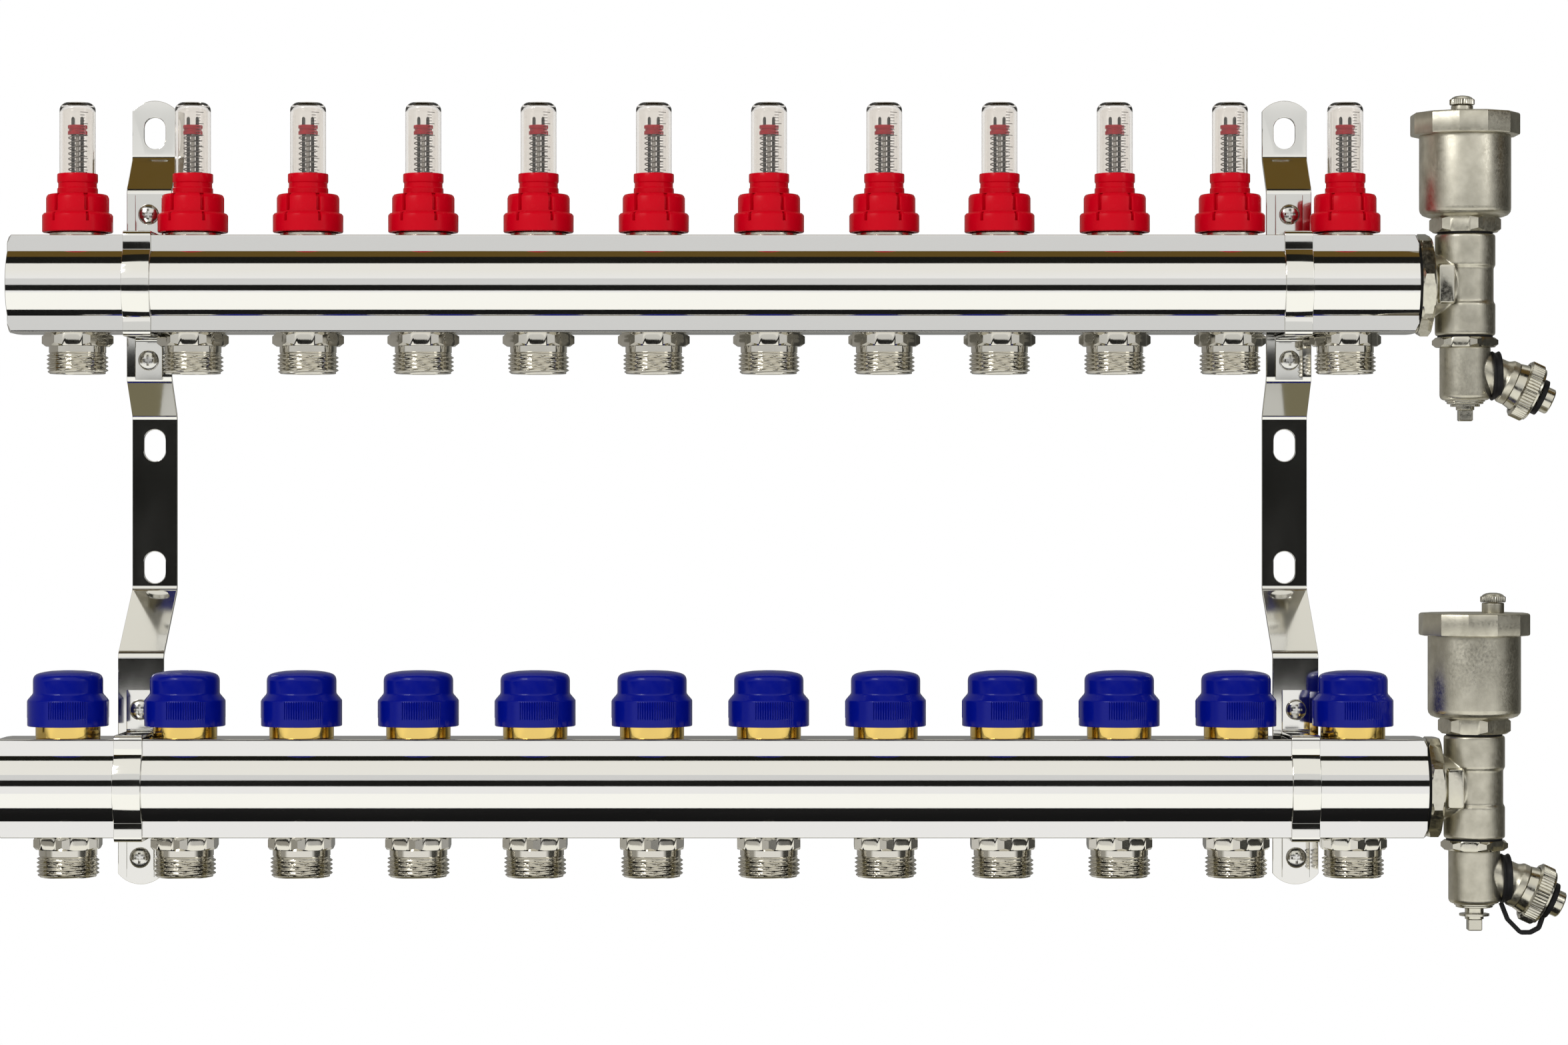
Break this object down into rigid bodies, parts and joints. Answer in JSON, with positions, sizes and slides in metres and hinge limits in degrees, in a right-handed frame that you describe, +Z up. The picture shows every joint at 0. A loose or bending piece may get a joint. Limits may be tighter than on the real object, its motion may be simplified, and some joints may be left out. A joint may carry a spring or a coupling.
{
  "type": "underfloor heating manifold",
  "caption": "Wall-mounted floor heating manifold: a supply bar with flow meters above a return bar with shut-off caps, on two brackets, with vents and drain valves.",
  "frame": {"origin": "middle of the left bracket's two wall slots, on the wall plane", "axes": "+X along the bars towards the vents, +Y into the wall, +Z up"},
  "size_m": [0.6695, 0.0851, 0.3629],
  "materials": {
    "bar_nickel": "polished nickel plate",
    "bracket_steel": "bright chromed steel strip",
    "screw_steel": "bright zinc plate",
    "outlet_nickel": "bright nickel plate",
    "insert_metal": "nickel plate",
    "sight_glass": "clear",
    "spring_steel": "bright wire",
    "brass": "polished",
    "satin_nickel": "satin nickel plate over cast brass",
    "black_rubber": "matte",
    "red_plastic": "gloss",
    "red_indicator": "gloss",
    "blue_plastic": "gloss",
    "float_plastic": "matte"
  },
  "bodies": {
    "manifold": {"supply_bar": "bar_nickel", "return_bar": "bar_nickel", "wall_brackets": "bracket_steel", "clamp_straps": "bracket_steel", "clamp_screws": "screw_steel", "circuit_outlets": "outlet_nickel", "meter_inserts": "insert_metal", "sight_glasses": "sight_glass", "meter_springs": "spring_steel", "valve_inserts": "brass", "end_adapters": "satin_nickel", "tees": "satin_nickel", "vent_bodies": "satin_nickel", "vent_caps": "satin_nickel", "drain_bodies": "satin_nickel", "rubber_seals_and_tethers": "black_rubber"},
    "flow_indicator_01": {"flow_indicator_01": "red_indicator"},
    "balancing_cap_01": {"balancing_cap_01": "red_plastic"},
    "shutoff_cap_01": {"shutoff_cap_01": "blue_plastic"},
    "flow_indicator_02": {"flow_indicator_02": "red_indicator"},
    "balancing_cap_02": {"balancing_cap_02": "red_plastic"},
    "shutoff_cap_02": {"shutoff_cap_02": "blue_plastic"},
    "flow_indicator_03": {"flow_indicator_03": "red_indicator"},
    "balancing_cap_03": {"balancing_cap_03": "red_plastic"},
    "shutoff_cap_03": {"shutoff_cap_03": "blue_plastic"},
    "flow_indicator_04": {"flow_indicator_04": "red_indicator"},
    "balancing_cap_04": {"balancing_cap_04": "red_plastic"},
    "shutoff_cap_04": {"shutoff_cap_04": "blue_plastic"},
    "flow_indicator_05": {"flow_indicator_05": "red_indicator"},
    "balancing_cap_05": {"balancing_cap_05": "red_plastic"},
    "shutoff_cap_05": {"shutoff_cap_05": "blue_plastic"},
    "flow_indicator_06": {"flow_indicator_06": "red_indicator"},
    "balancing_cap_06": {"balancing_cap_06": "red_plastic"},
    "shutoff_cap_06": {"shutoff_cap_06": "blue_plastic"},
    "flow_indicator_07": {"flow_indicator_07": "red_indicator"},
    "balancing_cap_07": {"balancing_cap_07": "red_plastic"},
    "shutoff_cap_07": {"shutoff_cap_07": "blue_plastic"},
    "flow_indicator_08": {"flow_indicator_08": "red_indicator"},
    "balancing_cap_08": {"balancing_cap_08": "red_plastic"},
    "shutoff_cap_08": {"shutoff_cap_08": "blue_plastic"},
    "flow_indicator_09": {"flow_indicator_09": "red_indicator"},
    "balancing_cap_09": {"balancing_cap_09": "red_plastic"},
    "shutoff_cap_09": {"shutoff_cap_09": "blue_plastic"},
    "flow_indicator_10": {"flow_indicator_10": "red_indicator"},
    "balancing_cap_10": {"balancing_cap_10": "red_plastic"},
    "shutoff_cap_10": {"shutoff_cap_10": "blue_plastic"},
    "flow_indicator_11": {"flow_indicator_11": "red_indicator"},
    "balancing_cap_11": {"balancing_cap_11": "red_plastic"},
    "shutoff_cap_11": {"shutoff_cap_11": "blue_plastic"},
    "flow_indicator_12": {"flow_indicator_12": "red_indicator"},
    "balancing_cap_12": {"balancing_cap_12": "red_plastic"},
    "shutoff_cap_12": {"shutoff_cap_12": "blue_plastic"},
    "supply_vent_plug": {"supply_vent_plug": "satin_nickel"},
    "supply_vent_float": {"supply_vent_float": "float_plastic"},
    "supply_drain_stem": {"supply_drain_stem": "satin_nickel"},
    "supply_drain_cap": {"supply_drain_cap": "satin_nickel"},
    "return_vent_plug": {"return_vent_plug": "satin_nickel"},
    "return_vent_float": {"return_vent_float": "float_plastic"},
    "return_drain_stem": {"return_drain_stem": "satin_nickel"},
    "return_drain_cap": {"return_drain_cap": "satin_nickel"}
  },
  "joints": [
    {"name": "flow_indicator_01_slide", "type": "slide", "parent": "manifold", "child": "flow_indicator_01", "axis": [0, 0, 1], "range_m": [-0.018, 0], "stiffness_N_per_m": 20, "springref_m": 0.001, "deforming": ["meter_springs"]},
    {"name": "balancing_cap_01_turn", "type": "hinge", "parent": "manifold", "child": "balancing_cap_01", "pos_m": [-0.028, -0.0382, 0.126], "axis": [0, 0, 1], "range_deg": [0, 900]},
    {"name": "shutoff_cap_01_turn", "type": "hinge", "parent": "manifold", "child": "shutoff_cap_01", "pos_m": [-0.028, -0.0622, -0.089], "axis": [0, 0, 1], "range_deg": [0, 900]},
    {"name": "flow_indicator_02_slide", "type": "slide", "parent": "manifold", "child": "flow_indicator_02", "axis": [0, 0, 1], "range_m": [-0.018, 0], "stiffness_N_per_m": 20, "springref_m": 0.001},
    {"name": "balancing_cap_02_turn", "type": "hinge", "parent": "manifold", "child": "balancing_cap_02", "pos_m": [0.022, -0.0382, 0.126], "axis": [0, 0, 1], "range_deg": [0, 900]},
    {"name": "shutoff_cap_02_turn", "type": "hinge", "parent": "manifold", "child": "shutoff_cap_02", "pos_m": [0.022, -0.0622, -0.089], "axis": [0, 0, 1], "range_deg": [0, 900]},
    {"name": "flow_indicator_03_slide", "type": "slide", "parent": "manifold", "child": "flow_indicator_03", "axis": [0, 0, 1], "range_m": [-0.018, 0], "stiffness_N_per_m": 20, "springref_m": 0.001},
    {"name": "balancing_cap_03_turn", "type": "hinge", "parent": "manifold", "child": "balancing_cap_03", "pos_m": [0.072, -0.0382, 0.126], "axis": [0, 0, 1], "range_deg": [0, 900]},
    {"name": "shutoff_cap_03_turn", "type": "hinge", "parent": "manifold", "child": "shutoff_cap_03", "pos_m": [0.072, -0.0622, -0.089], "axis": [0, 0, 1], "range_deg": [0, 900]},
    {"name": "flow_indicator_04_slide", "type": "slide", "parent": "manifold", "child": "flow_indicator_04", "axis": [0, 0, 1], "range_m": [-0.018, 0], "stiffness_N_per_m": 20, "springref_m": 0.001},
    {"name": "balancing_cap_04_turn", "type": "hinge", "parent": "manifold", "child": "balancing_cap_04", "pos_m": [0.122, -0.0382, 0.126], "axis": [0, 0, 1], "range_deg": [0, 900]},
    {"name": "shutoff_cap_04_turn", "type": "hinge", "parent": "manifold", "child": "shutoff_cap_04", "pos_m": [0.122, -0.0622, -0.089], "axis": [0, 0, 1], "range_deg": [0, 900]},
    {"name": "flow_indicator_05_slide", "type": "slide", "parent": "manifold", "child": "flow_indicator_05", "axis": [0, 0, 1], "range_m": [-0.018, 0], "stiffness_N_per_m": 20, "springref_m": 0.001},
    {"name": "balancing_cap_05_turn", "type": "hinge", "parent": "manifold", "child": "balancing_cap_05", "pos_m": [0.172, -0.0382, 0.126], "axis": [0, 0, 1], "range_deg": [0, 900]},
    {"name": "shutoff_cap_05_turn", "type": "hinge", "parent": "manifold", "child": "shutoff_cap_05", "pos_m": [0.172, -0.0622, -0.089], "axis": [0, 0, 1], "range_deg": [0, 900]},
    {"name": "flow_indicator_06_slide", "type": "slide", "parent": "manifold", "child": "flow_indicator_06", "axis": [0, 0, 1], "range_m": [-0.018, 0], "stiffness_N_per_m": 20, "springref_m": 0.001},
    {"name": "balancing_cap_06_turn", "type": "hinge", "parent": "manifold", "child": "balancing_cap_06", "pos_m": [0.222, -0.0382, 0.126], "axis": [0, 0, 1], "range_deg": [0, 900]},
    {"name": "shutoff_cap_06_turn", "type": "hinge", "parent": "manifold", "child": "shutoff_cap_06", "pos_m": [0.222, -0.0622, -0.089], "axis": [0, 0, 1], "range_deg": [0, 900]},
    {"name": "flow_indicator_07_slide", "type": "slide", "parent": "manifold", "child": "flow_indicator_07", "axis": [0, 0, 1], "range_m": [-0.018, 0], "stiffness_N_per_m": 20, "springref_m": 0.001},
    {"name": "balancing_cap_07_turn", "type": "hinge", "parent": "manifold", "child": "balancing_cap_07", "pos_m": [0.272, -0.0382, 0.126], "axis": [0, 0, 1], "range_deg": [0, 900]},
    {"name": "shutoff_cap_07_turn", "type": "hinge", "parent": "manifold", "child": "shutoff_cap_07", "pos_m": [0.272, -0.0622, -0.089], "axis": [0, 0, 1], "range_deg": [0, 900]},
    {"name": "flow_indicator_08_slide", "type": "slide", "parent": "manifold", "child": "flow_indicator_08", "axis": [0, 0, 1], "range_m": [-0.018, 0], "stiffness_N_per_m": 20, "springref_m": 0.001},
    {"name": "balancing_cap_08_turn", "type": "hinge", "parent": "manifold", "child": "balancing_cap_08", "pos_m": [0.322, -0.0382, 0.126], "axis": [0, 0, 1], "range_deg": [0, 900]},
    {"name": "shutoff_cap_08_turn", "type": "hinge", "parent": "manifold", "child": "shutoff_cap_08", "pos_m": [0.322, -0.0622, -0.089], "axis": [0, 0, 1], "range_deg": [0, 900]},
    {"name": "flow_indicator_09_slide", "type": "slide", "parent": "manifold", "child": "flow_indicator_09", "axis": [0, 0, 1], "range_m": [-0.018, 0], "stiffness_N_per_m": 20, "springref_m": 0.001},
    {"name": "balancing_cap_09_turn", "type": "hinge", "parent": "manifold", "child": "balancing_cap_09", "pos_m": [0.372, -0.0382, 0.126], "axis": [0, 0, 1], "range_deg": [0, 900]},
    {"name": "shutoff_cap_09_turn", "type": "hinge", "parent": "manifold", "child": "shutoff_cap_09", "pos_m": [0.372, -0.0622, -0.089], "axis": [0, 0, 1], "range_deg": [0, 900]},
    {"name": "flow_indicator_10_slide", "type": "slide", "parent": "manifold", "child": "flow_indicator_10", "axis": [0, 0, 1], "range_m": [-0.018, 0], "stiffness_N_per_m": 20, "springref_m": 0.001},
    {"name": "balancing_cap_10_turn", "type": "hinge", "parent": "manifold", "child": "balancing_cap_10", "pos_m": [0.422, -0.0382, 0.126], "axis": [0, 0, 1], "range_deg": [0, 900]},
    {"name": "shutoff_cap_10_turn", "type": "hinge", "parent": "manifold", "child": "shutoff_cap_10", "pos_m": [0.422, -0.0622, -0.089], "axis": [0, 0, 1], "range_deg": [0, 900]},
    {"name": "flow_indicator_11_slide", "type": "slide", "parent": "manifold", "child": "flow_indicator_11", "axis": [0, 0, 1], "range_m": [-0.018, 0], "stiffness_N_per_m": 20, "springref_m": 0.001},
    {"name": "balancing_cap_11_turn", "type": "hinge", "parent": "manifold", "child": "balancing_cap_11", "pos_m": [0.472, -0.0382, 0.126], "axis": [0, 0, 1], "range_deg": [0, 900]},
    {"name": "shutoff_cap_11_turn", "type": "hinge", "parent": "manifold", "child": "shutoff_cap_11", "pos_m": [0.472, -0.0622, -0.089], "axis": [0, 0, 1], "range_deg": [0, 900]},
    {"name": "flow_indicator_12_slide", "type": "slide", "parent": "manifold", "child": "flow_indicator_12", "axis": [0, 0, 1], "range_m": [-0.018, 0], "stiffness_N_per_m": 20, "springref_m": 0.001},
    {"name": "balancing_cap_12_turn", "type": "hinge", "parent": "manifold", "child": "balancing_cap_12", "pos_m": [0.522, -0.0382, 0.126], "axis": [0, 0, 1], "range_deg": [0, 900]},
    {"name": "shutoff_cap_12_turn", "type": "hinge", "parent": "manifold", "child": "shutoff_cap_12", "pos_m": [0.522, -0.0622, -0.089], "axis": [0, 0, 1], "range_deg": [0, 900]},
    {"name": "supply_vent_plug_turn", "type": "hinge", "parent": "manifold", "child": "supply_vent_plug", "pos_m": [0.574, -0.0302, 0.175], "axis": [0, 0, 1], "range_deg": [0, 720]},
    {"name": "supply_vent_float_slide", "type": "slide", "parent": "manifold", "child": "supply_vent_float", "axis": [0, 0, 1], "range_m": [0, 0.012]},
    {"name": "supply_drain_stem_turn", "type": "hinge", "parent": "manifold", "child": "supply_drain_stem", "pos_m": [0.574, -0.0382, 0.046], "axis": [0, 0, 1], "range_deg": [0, 720]},
    {"name": "supply_drain_cap_turn", "type": "hinge", "parent": "manifold", "child": "supply_drain_cap", "pos_m": [0.60028, -0.0382, 0.05024], "axis": [0.9063, 0, -0.4226], "range_deg": [0, 1080]},
    {"name": "return_vent_plug_turn", "type": "hinge", "parent": "manifold", "child": "return_vent_plug", "pos_m": [0.582, -0.0622, -0.041], "axis": [0, 0, 1], "range_deg": [0, 720]},
    {"name": "return_vent_float_slide", "type": "slide", "parent": "manifold", "child": "return_vent_float", "axis": [0, 0, 1], "range_m": [0, 0.012]},
    {"name": "return_drain_stem_turn", "type": "hinge", "parent": "manifold", "child": "return_drain_stem", "pos_m": [0.574, -0.0622, -0.17], "axis": [0, 0, 1], "range_deg": [-720, 0]},
    {"name": "return_drain_cap_turn", "type": "hinge", "parent": "manifold", "child": "return_drain_cap", "pos_m": [0.60028, -0.0622, -0.16576], "axis": [0.9063, 0, -0.4226], "range_deg": [0, 1080]}
  ]
}
